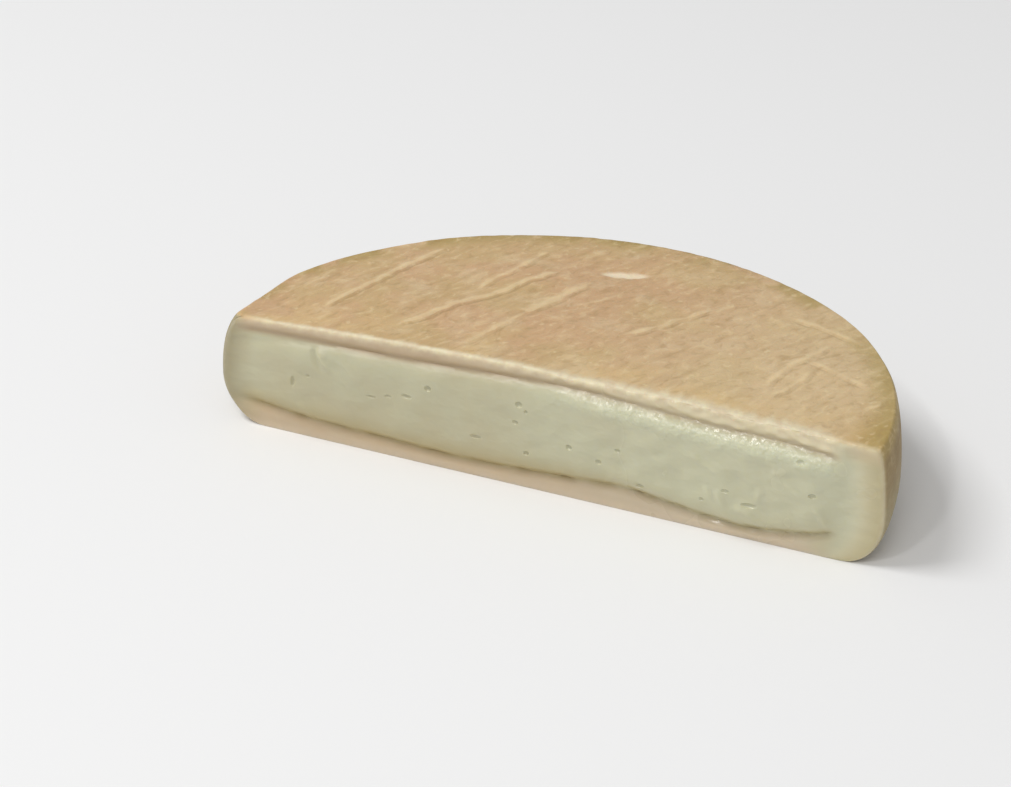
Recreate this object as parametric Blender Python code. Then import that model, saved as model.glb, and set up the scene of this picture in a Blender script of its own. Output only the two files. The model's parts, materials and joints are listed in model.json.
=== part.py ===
"""Half of a soft washed-rind cheese wheel, cut straight across and lying on its flat underside.

Metres, +Z up. The cut face looks along -Y with +X running along it, and the origin is the middle of
the bounding box's underside. Inside this script x and y start from the middle of the cut.
"""

import math
import random

import bmesh
import bpy
import numpy as np
from mathutils import Matrix, Vector

MM = 0.001

# Driving sizes of the half wheel
CHORD = 192 * MM  # along the cut, at the widest level of the rim
DEPTH = 91.4 * MM  # from the cut to the back of the rim
THICKNESS = 33.2 * MM  # at the rim, halfway round
CROWN = 2.8 * MM  # how much thicker the wheel is in the middle of the cut
CROWN_POWER = 1.3  # higher for a crown that keeps to the middle
LEAN = 0.027  # share of the thickness gained towards +X and lost towards -X

# The rim's profile: a tight shoulder above the widest level and a rounder foot below it
WIDEST_LEVEL = 0.41  # height of the widest level, as a share of the thickness
SHOULDER_RADIUS = 0.969  # radius where the shoulder meets the top, as a share of the widest
FOOT_RADIUS = 0.9  # radius where the foot meets the underside
SHOULDER_POWER = 1.8  # 2 for a quarter ellipse
FOOT_POWER = 2.0
LEFT_SHOULDER_RADIUS = 0.93  # the shoulder and the foot are rounder at the left end of the cut
LEFT_FOOT_RADIUS = 0.865
LEFT_START = -0.93  # where they start to round, as a share of the half chord
RIM_SWELLS = (-0.005, 0.004)  # how far the plan's left and right parts stand out of an ellipse
RIM_WAVE = 0.14 * MM  # slow unevenness of the rim
RIM_WAVE_SIZE = 32 * MM
CUT_EDGE_RADIUS = 1.2 * MM  # of the rind along the top of the cut
LEFT_EDGE_RADIUS = 3.5 * MM  # of the same edge at its left end
LEFT_EDGE_REACH = 14 * MM  # how far from the left end it starts to get rounder
CUT_END_RADII = (3.6 * MM, 1.8 * MM)  # of the upright edges at the left and right end of the cut

# Folds that the cheesecloth pressed into the top, each a raised line with a furrow on its right:
# (start x, start y, end x, end y, share of the full height), sizes in millimetres
FOLDS = (
    (-70, 12, -55, 64, 1.0), (-46, 8, -18, 61, 1.0), (-37, 34, -26, 74, 0.8), (-25, 3, -7, 57, 0.9),
    (-16, 28, -8, 51, 0.7), (-24, 32, 12, 27, 0.4), (12, 25, 31, 57, 0.9), (-8, 35, 3, 50, 0.5),
    (55, 15, 65, 51, 0.7), (59, 10, 66, 34, 0.6), (61, 37, 83, 29, 0.8), (47, 61, 73, 53, 0.8),
    (-22, 77, -8, 75, 0.5), (10, 82, 21, 78, 0.4), (82, 13, 88, 27, 0.5), (31, 22, 37, 38, 0.35),
    (47, 33, 56, 53, 0.45), (-85, 14, -75, 40, 0.35),
)
FOLD_RISE = 0.42 * MM
FOLD_SLOPE = 3.0 * MM  # half width of the gentle side, on the left
FOLD_CREST = 1.1 * MM  # half width of the crest and of the steep side
FURROW_OFFSET = 1.8 * MM
FURROW_HALF_WIDTH = 1.1 * MM
FURROW_SHARE = 0.7  # of the fold's rise
FOLD_UNEVENNESS = 0.5  # share of its height that a fold gains and loses along its run
FOLD_UNEVENNESS_SIZE = 9 * MM
FOLD_BEND = 0.7 * MM  # how far a fold wanders off its line
FOLD_BEND_SIZE = 26 * MM
FOLD_FADE = 7 * MM
TOP_WAVE = 0.3 * MM
TOP_WAVE_SIZE = 34 * MM
SCAR_PLACE = (-1.5 * MM, 65.5 * MM)  # where a flake of the rind came off
SCAR_HEADING = math.radians(16)
SCAR_SIZE = (6 * MM, 1.8 * MM)
SCAR_DEPTH = 0.35 * MM

# The cut face: a groove under the top rind, a bulging band of paste, a crease and the bottom rind
GROOVE = ((-79, 3.5), (-39, 4.7), (11, 3.3), (51, 4.9), (69, 4.2), (83, 5.4))  # (x, below the top), mm
GROOVE_DEPTH = 0.65 * MM
GROOVE_HALF_WIDTH = 0.9 * MM
SHOULDER_BELOW_GROOVE = 0.2 * MM
SHOULDER_END_DROP = 3 * MM  # how much the band narrows at its left end
CREASE = (  # (x, height above the table) where the paste meets the bottom rind, in millimetres
    (-83, 7.5), (-69, 5.8), (-36, 4.7), (-19, 4.3), (9, 5.8), (27, 7.0), (39, 5.1), (51, 3.6), (61, 3.2),
    (75, 5.1), (83, 7.7),
)
CREASE_DEPTH = 0.6 * MM
CREASE_HALF_WIDTH = 0.9 * MM
PASTE_BULGE = 2.0 * MM
BULGE_POWER = 6  # higher for a flatter band with steeper edges
BULGE_ENDS = (-94 * MM, 87 * MM)
BULGE_FADES = (20 * MM, 11 * MM)  # over which the band of paste dies out at the left and right
GROOVE_ENDS = (-92 * MM, 85 * MM)
GROOVE_FADES = (8 * MM, 5 * MM)  # over which the groove and the crease die out
PASTE_LUMPS = 0.35 * MM
PASTE_LUMP_SIZE = 16 * MM
SMEARS = 0.3 * MM  # finer lumps, which grow towards the band's right half
SMEAR_SIZE = 6 * MM
BOTTOM_LIP = 0.5 * MM  # how far the bottom rind swells out
# Ridges that the knife dragged: (x, height, heading in degrees, length, rise), in millimetres
DRAG_MARKS = (
    (-65.5, 28, -62, 8, -0.7), (-63.5, 28, -55, 8, 0.4), (-61, 25, -38, 13, 0.35), (-57, 27, -40, 14, 0.3),
    (-70, 10.5, -22, 10, 0.35), (34.5, 20.5, 8, 4.5, -0.5), (62.5, 13, 75, 5, 0.6), (57, 10, -15, 4, 0.5),
    (78, 14.5, -38, 7, 0.5), (45, 22, -25, 10, 0.4),
)
DRAG_HALF_WIDTH = 0.8 * MM

# Eyes that the knife opened: (x, height above the table, width, height), in millimetres
EYES = (
    (-71.3, 17.6, 1.5, 3.2), (-66.5, 20.2, 1.6, 1.1), (-47.1, 18.2, 3.0, 1.0), (-42.2, 19.4, 2.0, 1.0),
    (-36.8, 20.6, 3.4, 1.4), (-30.2, 24.6, 2.2, 1.8), (-3.7, 25.9, 2.2, 1.8), (-1.6, 24.2, 1.2, 1.2),
    (-4.9, 20.1, 1.9, 1.4), (-16.2, 13.3, 3.4, 1.4), (-1.6, 11.6, 1.8, 1.5), (10.7, 16.4, 2.0, 1.7),
    (19, 13.9, 1.8, 1.5), (24.2, 18.5, 1.7, 1.4), (30.7, 9.5, 2.4, 1.4), (47.8, 10.0, 1.4, 1.2),
    (54.2, 14.1, 2.4, 1.4), (61.2, 11.3, 5.0, 1.4), (73.6, 27.1, 2.4, 1.5), (77.4, 18.1, 2.2, 1.5),
)
EYE_DEPTH_SHARE = 0.6  # of an eye's smaller size

# The relief is shaped on a fine grid, which is then thinned where it is flat
GRID_CELLS = (210, 120, 40)
EDGE_CROWDING = 1.25  # how strongly the columns gather at the ends of the cut, in radians
CUT_CROWDING = 1.5  # how strongly the rows gather at the cut, as a power
SURFACE_TRIANGLES = 9300
WAVE_COUNT = 6
SHARP_ANGLE = math.radians(50)

CHEESE_COLOUR = (0.56, 0.42, 0.26, 1)
CHEESE_ROUGHNESS = 0.55


def clear_scene():
    for obj in list(bpy.data.objects):
        bpy.data.objects.remove(obj)


def new_collection(name):
    collection = bpy.data.collections.new(name)
    bpy.context.scene.collection.children.link(collection)
    return collection


def cheese_material():
    material = bpy.data.materials.new("cheese")
    material.use_nodes = True
    shader = material.node_tree.nodes["Principled BSDF"]
    shader.inputs["Base Color"].default_value = CHEESE_COLOUR
    shader.inputs["Roughness"].default_value = CHEESE_ROUGHNESS
    shader.inputs["Metallic"].default_value = 0
    return material


def smooth_step(low, high, value):
    share = np.clip((value - low) / (high - low), 0, 1)
    return share * share * (3 - 2 * share)


def ridge(distance, half_width):
    """A rounded ridge of height 1 on its line."""
    return np.exp(-((distance / half_width) ** 2))


def wave(x, y, size, layer):
    """Smooth unevenness, mostly between -1 and 1. Each layer has its own pattern."""
    draw = random.Random(layer)
    total = 0
    for _ in range(WAVE_COUNT):
        heading = draw.uniform(0, 2 * math.pi)
        length = size * draw.uniform(0.7, 1.4)
        phase = draw.uniform(0, 2 * math.pi)
        along = x * math.cos(heading) + y * math.sin(heading)
        total = total + np.sin(2 * math.pi * along / length + phase)
    return total / math.sqrt(2 * WAVE_COUNT)


def in_line(x, y, start_x, start_y, heading):
    """The place (x, y) as its distance along and to the left of a line."""
    along = (x - start_x) * math.cos(heading) + (y - start_y) * math.sin(heading)
    across = (y - start_y) * math.cos(heading) - (x - start_x) * math.sin(heading)
    return along, across


def rim_radius(level, side):
    """The wheel's radius as a share of the widest, at a level from 0, the underside, to 1, the top.

    Side runs from -1, the left end of the cut, to 1, the right end.
    """
    left = smooth_step(LEFT_START, -1, side)
    top = SHOULDER_RADIUS + (LEFT_SHOULDER_RADIUS - SHOULDER_RADIUS) * left
    bottom = FOOT_RADIUS + (LEFT_FOOT_RADIUS - FOOT_RADIUS) * left
    above = np.clip((level - WIDEST_LEVEL) / (1 - WIDEST_LEVEL), 0, 1)
    below = np.clip((WIDEST_LEVEL - level) / WIDEST_LEVEL, 0, 1)
    shoulder = top + (1 - top) * (1 - above**SHOULDER_POWER) ** (1 / SHOULDER_POWER)
    foot = bottom + (1 - bottom) * (1 - below**FOOT_POWER) ** (1 / FOOT_POWER)
    return np.where(level > WIDEST_LEVEL, shoulder, foot)


def thickness_at(x, y):
    """The wheel's thickness without the folds."""
    from_middle = np.clip((x / (CHORD / 2)) ** 2 + (y / DEPTH) ** 2, 0, 1)
    return THICKNESS * (1 + LEAN * x / (CHORD / 2)) + CROWN * (1 - from_middle) ** CROWN_POWER


def fold_profile(across):
    """A fold seen from its end: a crest, a gentle side on the left and a furrow on the right."""
    gentle = np.where(across > 0, ridge(across, FOLD_SLOPE), ridge(across, FOLD_CREST))
    crest = (gentle + ridge(across, FOLD_CREST)) / 2
    return crest - FURROW_SHARE * ridge(across + FURROW_OFFSET, FURROW_HALF_WIDTH)


def folds_at(x, y):
    """How high the cloth's folds stand, from 1 on a fold to below 0 in its furrow."""
    total = 0 * x
    for number, (start_x, start_y, end_x, end_y, share) in enumerate(FOLDS):
        heading = math.atan2(end_y - start_y, end_x - start_x)
        length = math.hypot(end_x - start_x, end_y - start_y) * MM
        along, across = in_line(x, y, start_x * MM, start_y * MM, heading)
        across = across + FOLD_BEND * wave(along, 0, FOLD_BEND_SIZE, 20 + number)
        ends = smooth_step(0, FOLD_FADE, along) * smooth_step(length, length - FOLD_FADE, along)
        height = share * (1 + FOLD_UNEVENNESS * wave(along, 0, FOLD_UNEVENNESS_SIZE, 50 + number))
        total = total + height * ends * fold_profile(across)
    return total


def scar_at(x, y):
    """1 inside the scar and 0 outside it."""
    along, across = in_line(x, y, *SCAR_PLACE, SCAR_HEADING)
    return smooth_step(1.3, 0.8, np.hypot(along / SCAR_SIZE[0], across / SCAR_SIZE[1]))


def top_relief(x, y):
    """How far the folds, the scar and a slow unevenness raise the top."""
    slow = TOP_WAVE * wave(x, y, TOP_WAVE_SIZE, 1)
    return slow + FOLD_RISE * folds_at(x, y) - SCAR_DEPTH * scar_at(x, y)


def knots_at(x, knots):
    """The value at x on straight lines through knots given in millimetres."""
    return MM * np.interp(x / MM, [place for place, _ in knots], [value for _, value in knots])


def inside_ends(x, ends, fades):
    """1 between two ends of the cut, dying out towards both."""
    return smooth_step(ends[0], ends[0] + fades[0], x) * smooth_step(ends[1], ends[1] - fades[1], x)


def cut_relief(x, z):
    """How far the cut face stands out of its plane."""
    left = BULGE_ENDS[0]
    groove = thickness_at(x, 0) - knots_at(x, GROOVE)
    crease = knots_at(x, CREASE)
    shoulder = groove - SHOULDER_BELOW_GROOVE
    shoulder = shoulder - SHOULDER_END_DROP * smooth_step(left + 2 * BULGE_FADES[0], left, x)
    across = np.clip((z - crease) / (shoulder - crease), 0, 1)
    band = 1 - abs(2 * across - 1) ** BULGE_POWER
    smears = SMEARS * smooth_step(-60 * MM, 60 * MM, x) * wave(x, z, SMEAR_SIZE, 3)
    band = band * (PASTE_BULGE + PASTE_LUMPS * wave(x, z, PASTE_LUMP_SIZE, 2) + smears)
    lines = BOTTOM_LIP * ridge(z - crease / 2, crease / 3)
    lines = lines - GROOVE_DEPTH * ridge(z - groove, GROOVE_HALF_WIDTH)
    lines = lines - CREASE_DEPTH * ridge(z - crease, CREASE_HALF_WIDTH)
    for start_x, start_z, heading, length, rise in DRAG_MARKS:
        along, aside = in_line(x, z, start_x * MM, start_z * MM, math.radians(heading))
        ends = smooth_step(-MM, MM, along) * smooth_step(length * MM, length * MM / 3, along)
        lines = lines + rise * MM * ends * ridge(aside, DRAG_HALF_WIDTH)
    return inside_ends(x, BULGE_ENDS, BULGE_FADES) * band + inside_ends(x, GROOVE_ENDS, GROOVE_FADES) * lines


def rounded(first, second, radius):
    """Distances from two faces that meet square, moved so that the edge between them is round."""
    first_left, second_left = radius - first, radius - second
    near = (first_left > 0) & (second_left > 0)
    longest = np.where(near, np.maximum(first_left, second_left), 1)
    reach = np.where(near, np.hypot(first_left, second_left) / longest, 1)
    first_moved = np.where(near, radius - first_left / reach, first)
    second_moved = np.where(near, radius - second_left / reach, second)
    return first_moved, second_moved


def divided_box(cells):
    """A box primitive, x -1 to 1 and y and z 0 to 1, open below, with its sides divided into cells."""
    bm = bmesh.new()
    placed = Matrix.Diagonal((2, 1, 1, 1)) @ Matrix.Translation((0, 0.5, 0.5))
    bmesh.ops.create_cube(bm, size=1, matrix=placed)
    bm.normal_update()
    below = [face for face in bm.faces if face.normal.z < -0.5]
    bmesh.ops.delete(bm, geom=below, context="FACES_ONLY")
    for axis, count in enumerate(cells):
        along = [edge for edge in bm.edges if abs(edge.verts[1].co[axis] - edge.verts[0].co[axis]) > 0.5]
        bmesh.ops.subdivide_edges(bm, edges=along, cuts=count - 1, use_grid_fill=True)
    for face in bm.faces:
        face.smooth = True
    mesh = bpy.data.meshes.new("half_wheel")
    bm.to_mesh(mesh)
    bm.free()
    return mesh


def half_wheel_points(box_points):
    """Where the divided box's points go on the half wheel, with the cut in the plane y = 0."""
    u = np.sin(EDGE_CROWDING * box_points[:, 0]) / math.sin(EDGE_CROWDING)
    v = np.clip(box_points[:, 1], 0, 1) ** CUT_CROWDING
    w = np.clip(box_points[:, 2], 0, 1)
    level = w / 2 + (1 - np.cos(math.pi * w)) / 4
    side, back = u * np.sqrt(1 - v * v / 2), v * np.sqrt(1 - u * u / 2)
    rim = rim_radius(level, side) * (1 + np.where(side < 0, *RIM_SWELLS) * (2 * side * back) ** 2)
    across, depth = side * CHORD / 2, back * DEPTH
    on_side = 1 - smooth_step(0.5, 0.95, abs(2 * level - 1))
    rim = rim + on_side * RIM_WAVE / DEPTH * wave(across, depth + level * THICKNESS, RIM_WAVE_SIZE, 4)
    x, y = across * rim, depth * rim
    thickness = thickness_at(x, y)
    at_left = smooth_step(LEFT_EDGE_REACH - CHORD / 2, -CHORD / 2, x)
    edge_radius = CUT_EDGE_RADIUS + (LEFT_EDGE_RADIUS - CUT_EDGE_RADIUS) * at_left
    y, below_top = rounded(y, thickness * (1 - level), edge_radius)
    y, inside_rim = rounded(y, rim * CHORD / 2 - abs(x), np.where(x < 0, *CUT_END_RADII))
    x = np.sign(x) * (rim * CHORD / 2 - inside_rim)
    z = thickness - below_top + top_relief(x, y) * level**12
    on_cut = v < 1e-6
    return np.stack((x, np.where(on_cut, y - cut_relief(x, z), y), z), axis=1)


def shape_surface():
    """The half wheel's outer surface as a fine grid, open below."""
    mesh = divided_box(GRID_CELLS)
    flat = np.empty(len(mesh.vertices) * 3)
    mesh.vertices.foreach_get("co", flat)
    mesh.vertices.foreach_set("co", half_wheel_points(flat.reshape(-1, 3)).ravel())
    mesh.update()
    return mesh


def thin_out(obj):
    """Merges triangles where the surface is flat or evenly curved, and keeps the result as the mesh."""
    modifier = obj.modifiers.new("thin out", "DECIMATE")
    triangles = sum(len(polygon.vertices) - 2 for polygon in obj.data.polygons)
    modifier.ratio = SURFACE_TRIANGLES / triangles
    evaluated = obj.evaluated_get(bpy.context.evaluated_depsgraph_get())
    mesh = bpy.data.meshes.new_from_object(evaluated)
    obj.modifiers.remove(modifier)
    obj.data = mesh


def close_underside(obj):
    """Closes the surface with one flat face on the table."""
    bm = bmesh.new()
    bm.from_mesh(obj.data)
    border = [edge for edge in bm.edges if edge.is_boundary]
    for vert in {vert for edge in border for vert in edge.verts}:
        vert.co.z = 0
    bmesh.ops.edgeloop_fill(bm, edges=border)
    bmesh.ops.recalc_face_normals(bm, faces=bm.faces)
    bm.to_mesh(obj.data)
    bm.free()


def centre_on_box(obj):
    """Moves the mesh so that the origin is the middle of the box's underside, and returns the shift."""
    corners = np.array([tuple(corner) for corner in obj.bound_box])
    low, high = corners.min(axis=0), corners.max(axis=0)
    shift = Vector((-(low[0] + high[0]) / 2, -(low[1] + high[1]) / 2, -low[2]))
    obj.data.transform(Matrix.Translation(shift))
    return shift


def add_eyes(collection, shift):
    """Flattened balls that cut the eyes out of the paste."""
    for number, (x, z, width, height) in enumerate(EYES):
        x, z = x * MM, z * MM
        place = Vector((x, -float(cut_relief(x, z)), z)) + shift
        bpy.ops.mesh.primitive_ico_sphere_add(subdivisions=2, radius=1)
        eye = bpy.context.object
        eye.name = f"eye_cutter_{number + 1}"
        depth = EYE_DEPTH_SHARE * min(width, height)
        size = Matrix.Diagonal((width * MM / 2, depth * MM, height * MM / 2, 1))
        eye.data.transform(Matrix.Translation(place) @ size)
        eye.hide_render = True
        eye.display_type = "WIRE"
        for owner in list(eye.users_collection):
            owner.objects.unlink(eye)
        collection.objects.link(eye)


def build():
    clear_scene()
    parts = new_collection("half cheese wheel")
    cutters = new_collection("cutters")
    half_wheel = bpy.data.objects.new("half_wheel", shape_surface())
    half_wheel.data.materials.append(cheese_material())
    parts.objects.link(half_wheel)
    thin_out(half_wheel)
    close_underside(half_wheel)
    half_wheel.data.set_sharp_from_angle(angle=SHARP_ANGLE)
    shift = centre_on_box(half_wheel)
    add_eyes(cutters, shift)
    eyes = half_wheel.modifiers.new("eyes", "BOOLEAN")
    eyes.operation = "DIFFERENCE"
    eyes.operand_type = "COLLECTION"
    eyes.collection = cutters


build()
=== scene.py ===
"""Looks of the half cheese wheel: its creased, mottled rind and the wet, bulging paste with its eyes.

Metres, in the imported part's frame, whose origin is the middle of the underside. The shape is worked
out from the same named sizes as the solid, in places that start from the middle of the cut, and on
a finer grid.
"""

import json
import math
import random

import bmesh
import bpy
import numpy as np
from mathutils import Matrix, Vector

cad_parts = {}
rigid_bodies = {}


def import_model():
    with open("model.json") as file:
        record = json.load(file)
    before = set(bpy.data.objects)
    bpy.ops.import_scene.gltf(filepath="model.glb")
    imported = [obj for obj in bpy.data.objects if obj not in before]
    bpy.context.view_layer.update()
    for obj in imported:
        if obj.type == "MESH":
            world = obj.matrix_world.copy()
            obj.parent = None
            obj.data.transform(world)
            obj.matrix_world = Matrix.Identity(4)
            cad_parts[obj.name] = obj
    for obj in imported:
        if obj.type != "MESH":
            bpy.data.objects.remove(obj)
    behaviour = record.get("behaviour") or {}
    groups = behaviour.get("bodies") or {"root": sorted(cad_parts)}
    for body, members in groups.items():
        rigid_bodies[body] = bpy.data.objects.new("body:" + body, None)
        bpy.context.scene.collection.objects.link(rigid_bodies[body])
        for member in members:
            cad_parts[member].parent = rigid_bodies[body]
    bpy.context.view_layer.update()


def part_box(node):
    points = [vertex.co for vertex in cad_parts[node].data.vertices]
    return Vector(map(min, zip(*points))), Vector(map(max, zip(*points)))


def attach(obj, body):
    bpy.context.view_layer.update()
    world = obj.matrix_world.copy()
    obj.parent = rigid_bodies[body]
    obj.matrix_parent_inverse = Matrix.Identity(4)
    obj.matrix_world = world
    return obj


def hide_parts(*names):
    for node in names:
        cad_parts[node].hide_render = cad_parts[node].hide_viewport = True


MM = 0.001

# The half wheel's sizes, as in the solid
CHORD = 192 * MM  # along the cut, at the widest level of the rim
DEPTH = 91.4 * MM  # from the cut to the back of the rim
THICKNESS = 33.2 * MM  # at the rim, halfway round
CROWN = 2.8 * MM  # how much thicker the wheel is in the middle of the cut
CROWN_POWER = 1.3  # higher for a crown that keeps to the middle
LEAN = 0.027  # share of the thickness gained towards +X and lost towards -X

# The rim's profile: a tight shoulder above the widest level and a rounder foot below it
WIDEST_LEVEL = 0.41  # height of the widest level, as a share of the thickness
SHOULDER_RADIUS = 0.969  # radius where the shoulder meets the top, as a share of the widest
FOOT_RADIUS = 0.9  # radius where the foot meets the underside
SHOULDER_POWER = 1.8  # 2 for a quarter ellipse
FOOT_POWER = 2.0
LEFT_SHOULDER_RADIUS = 0.93  # the shoulder and the foot are rounder at the left end of the cut
LEFT_FOOT_RADIUS = 0.865
LEFT_START = -0.93  # where they start to round, as a share of the half chord
RIM_SWELLS = (-0.005, 0.004)  # how far the plan's left and right parts stand out of an ellipse
RIM_WAVE = 0.14 * MM  # slow unevenness of the rim
RIM_WAVE_SIZE = 32 * MM
RIM_WAVE_FADE = (0.5, 0.95)  # from where to where it dies out, as shares of the way to the top or underside
TOP_RELIEF_POWER = 12  # higher for folds that die out sooner down the shoulder
CUT_EDGE_RADIUS = 1.2 * MM  # of the rind along the top of the cut
LEFT_EDGE_RADIUS = 3.5 * MM  # of the same edge at its left end
LEFT_EDGE_REACH = 14 * MM  # how far from the left end it starts to get rounder
CUT_END_RADII = (3.6 * MM, 1.8 * MM)  # of the upright edges at the left and right end of the cut

# Folds that the cheesecloth pressed into the top, each a raised line with a furrow on its right:
# (start x, start y, end x, end y, share of the full height), sizes in millimetres
FOLDS = (
    (-70, 12, -55, 64, 1.0), (-46, 8, -18, 61, 1.0), (-37, 34, -26, 74, 0.8), (-25, 3, -7, 57, 0.9),
    (-16, 28, -8, 51, 0.7), (-24, 32, 12, 27, 0.4), (12, 25, 31, 57, 0.9), (-8, 35, 3, 50, 0.5),
    (55, 15, 65, 51, 0.7), (59, 10, 66, 34, 0.6), (61, 37, 83, 29, 0.8), (47, 61, 73, 53, 0.8),
    (-22, 77, -8, 75, 0.5), (10, 82, 21, 78, 0.4), (82, 13, 88, 27, 0.5), (31, 22, 37, 38, 0.35),
    (47, 33, 56, 53, 0.45), (-85, 14, -75, 40, 0.35), (68, 8, 76, 30, 0.4), (2, 60, 12, 80, 0.4),
    (40, 60, 58, 48, 0.35), (-60, 30, -40, 26, 0.3), (24, 66, 38, 72, 0.4), (80, 22, 91, 17, 0.3),
)
FOLD_RISE = 0.3 * MM
FOLD_SLOPE = 2.8 * MM  # half width of the gentle side, on the left
FOLD_CREST = 0.9 * MM  # half width of the crest and of the steep side
FURROW_OFFSET = 1.4 * MM
FURROW_HALF_WIDTH = 0.7 * MM
FURROW_SHARE = 0.65  # of the fold's rise
FOLD_UNEVENNESS = 0.5  # share of its height that a fold gains and loses along its run
FOLD_UNEVENNESS_SIZE = 9 * MM
FOLD_BEND = 0.7 * MM  # how far a fold wanders off its line
FOLD_BEND_SIZE = 26 * MM
FOLD_KINK = 0.35 * MM  # the same in short, sharper bends
FOLD_KINK_SIZE = 6 * MM
FOLD_FADE = 7 * MM
TOP_WAVE = 0.3 * MM
TOP_WAVE_SIZE = 34 * MM
SCAR_PLACE = (-1.5 * MM, 65.5 * MM)  # where a flake of the rind came off
SCAR_HEADING = math.radians(16)
SCAR_SIZE = (6 * MM, 1.8 * MM)
SCAR_DEPTH = 0.35 * MM
SCAR_BORDER = (1.3, 0.8)  # from outside to inside it, as shares of its size

# The cut face: a groove under the top rind, a bulging band of paste, a crease and the bottom rind
GROOVE = ((-79, 3.5), (-39, 4.7), (11, 3.3), (51, 4.9), (69, 4.2), (83, 5.4))  # (x, below the top), mm
GROOVE_DEPTH = 0.7 * MM
GROOVE_HALF_WIDTH = 1.1 * MM
SHOULDER_BELOW_GROOVE = 0.2 * MM
SHOULDER_END_DROP = 3 * MM  # how much the band narrows at its left end
CREASE = (  # (x, height above the table) where the paste meets the bottom rind, in millimetres
    (-83, 7.5), (-69, 5.8), (-36, 4.7), (-19, 4.3), (9, 5.8), (27, 7.0), (39, 5.1), (51, 3.6), (61, 3.2),
    (75, 5.1), (83, 7.7),
)
CREASE_DEPTH = 0.5 * MM
CREASE_HALF_WIDTH = 1.1 * MM
PASTE_BULGE = 2.0 * MM
BULGE_POWER = 6  # higher for a flatter band with steeper edges
BULGE_ENDS = (-94 * MM, 87 * MM)
BULGE_FADES = (20 * MM, 11 * MM)  # over which the band of paste dies out at the left and right
GROOVE_ENDS = (-92 * MM, 85 * MM)
GROOVE_FADES = (8 * MM, 5 * MM)  # over which the groove and the crease die out
STRIP_ENDS = (-95 * MM, 86 * MM)  # of the bottom rind's own colour
STRIP_FADES = (16 * MM, 16 * MM)
PASTE_LUMPS = 0.35 * MM
PASTE_LUMP_SIZE = 16 * MM
SMEARS = 0.3 * MM  # finer lumps, which grow towards the band's right half
SMEAR_SIZE = 6 * MM
BOTTOM_LIP = 0.5 * MM  # how far the bottom rind swells out
# Ridges that the knife dragged: (x, height, heading in degrees, length, rise), in millimetres
DRAG_MARKS = (
    (-65.5, 28, -62, 8, -0.9), (-63.5, 28, -55, 8, 0.6), (-61, 25, -38, 13, 0.35), (-57, 27, -40, 14, 0.3),
    (-70, 10.5, -22, 10, 0.35), (34.5, 20.5, 8, 4.5, -0.5), (62.5, 13, 75, 5, 0.6), (57, 10, -15, 4, 0.5),
    (78, 14.5, -38, 7, 0.6), (45, 22, -25, 10, 0.4), (52, 13, -62, 6, 0.7), (58, 10, -24, 5, 0.7),
    (49, 14, -70, 5, 0.5), (79.5, 12, -50, 5, 0.5), (66, 22, 20, 8, 0.35), (70, 20, -30, 9, 0.35),
)
DRAG_HALF_WIDTH = 0.8 * MM

# Eyes that the knife opened: (x, height above the table, width, height), in millimetres
EYES = (
    (-71.3, 17.6, 1.5, 3.2), (-66.5, 20.2, 1.6, 1.1), (-47.1, 18.2, 3.0, 1.0), (-42.2, 19.4, 2.0, 1.0),
    (-36.8, 20.6, 3.4, 1.4), (-30.2, 24.6, 2.2, 1.8), (-3.7, 25.9, 2.2, 1.8), (-1.6, 24.2, 1.2, 1.2),
    (-4.9, 20.1, 1.9, 1.4), (-16.2, 13.3, 3.4, 1.4), (-1.6, 11.6, 1.8, 1.5), (10.7, 16.4, 2.0, 1.7),
    (19, 13.9, 1.8, 1.5), (24.2, 18.5, 1.7, 1.4), (30.7, 9.5, 2.4, 1.4), (47.8, 10.0, 1.4, 1.2),
    (54.2, 14.1, 2.4, 1.4), (61.2, 11.3, 5.0, 1.4), (73.6, 27.1, 2.4, 1.5), (77.4, 18.1, 2.2, 1.5),
)
EYE_DEPTH_SHARE = 0.35  # of an eye's smaller size
EYE_LIFT = 0.5  # how far the cutting ball's middle stands off the paste, as a share of its radius

# Finer relief that only the scene has
GRID_CELLS = (320, 110, 56)  # along the cut, from the cut to the back, and upwards
EDGE_CROWDING = 1.25  # higher for finer cells near the ends of the cut
CUT_CROWDING = 1.5  # and near the cut
WAVE_COUNT = 6
KNOT_NUDGES = (-5, -2.5, 0, 2.5, 5)  # mm, over which the bends of the groove and the crease are rounded
EDGE_LUMPS = 0.3 * MM  # of the rind above the groove, towards the right
EDGE_LUMP_SIZE = 6 * MM
CREASE_UNEVENNESS = 0.5  # share of its depth that the crease gains and loses along its run
CREASE_UNEVENNESS_SIZE = 9 * MM
RIND_PUCKER = 0.04 * MM
RIND_PUCKER_SIZE = 5 * MM
SHARP_ANGLE = math.radians(50)

# From where to where each feature grows from nothing to full, in millimetres
SPANS = {
    # by the place along the cut
    "smears": (-60, 60), "edge lumps": (-30, 30), "pale": (-20, 60), "right": (55, 85),
    "corner": (74, 92), "shoulder": (-10, 30), "paste right": (-30, 50), "ripe left": (40, 0),
    "left end": (-40, -80), "right end": (0, 40), "rind end": (80, 88), "end edge": (60, 80),
    "edge widens": (-30, 45), "edge narrows": (84, 74), "edge starts": (-91, -76), "edge fades": (84, 76),
    # by the distance behind the cut
    "cut": (4, 3), "golden": (22, 2), "corner depth": (26, 6),
    # by the depth below the top or inside the rim
    "paste": (0.15, 0.9), "left rim": (13, 0), "right rim": (12, 0), "rind end depth": (6, 2),
    # by the height above the table, the crease or the groove
    "foot": (3.5, 0.5), "strip": (0.6, -1.2), "cut rind": (-0.9, 0.1), "rolled edge": (0, 1.5),
}
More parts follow.
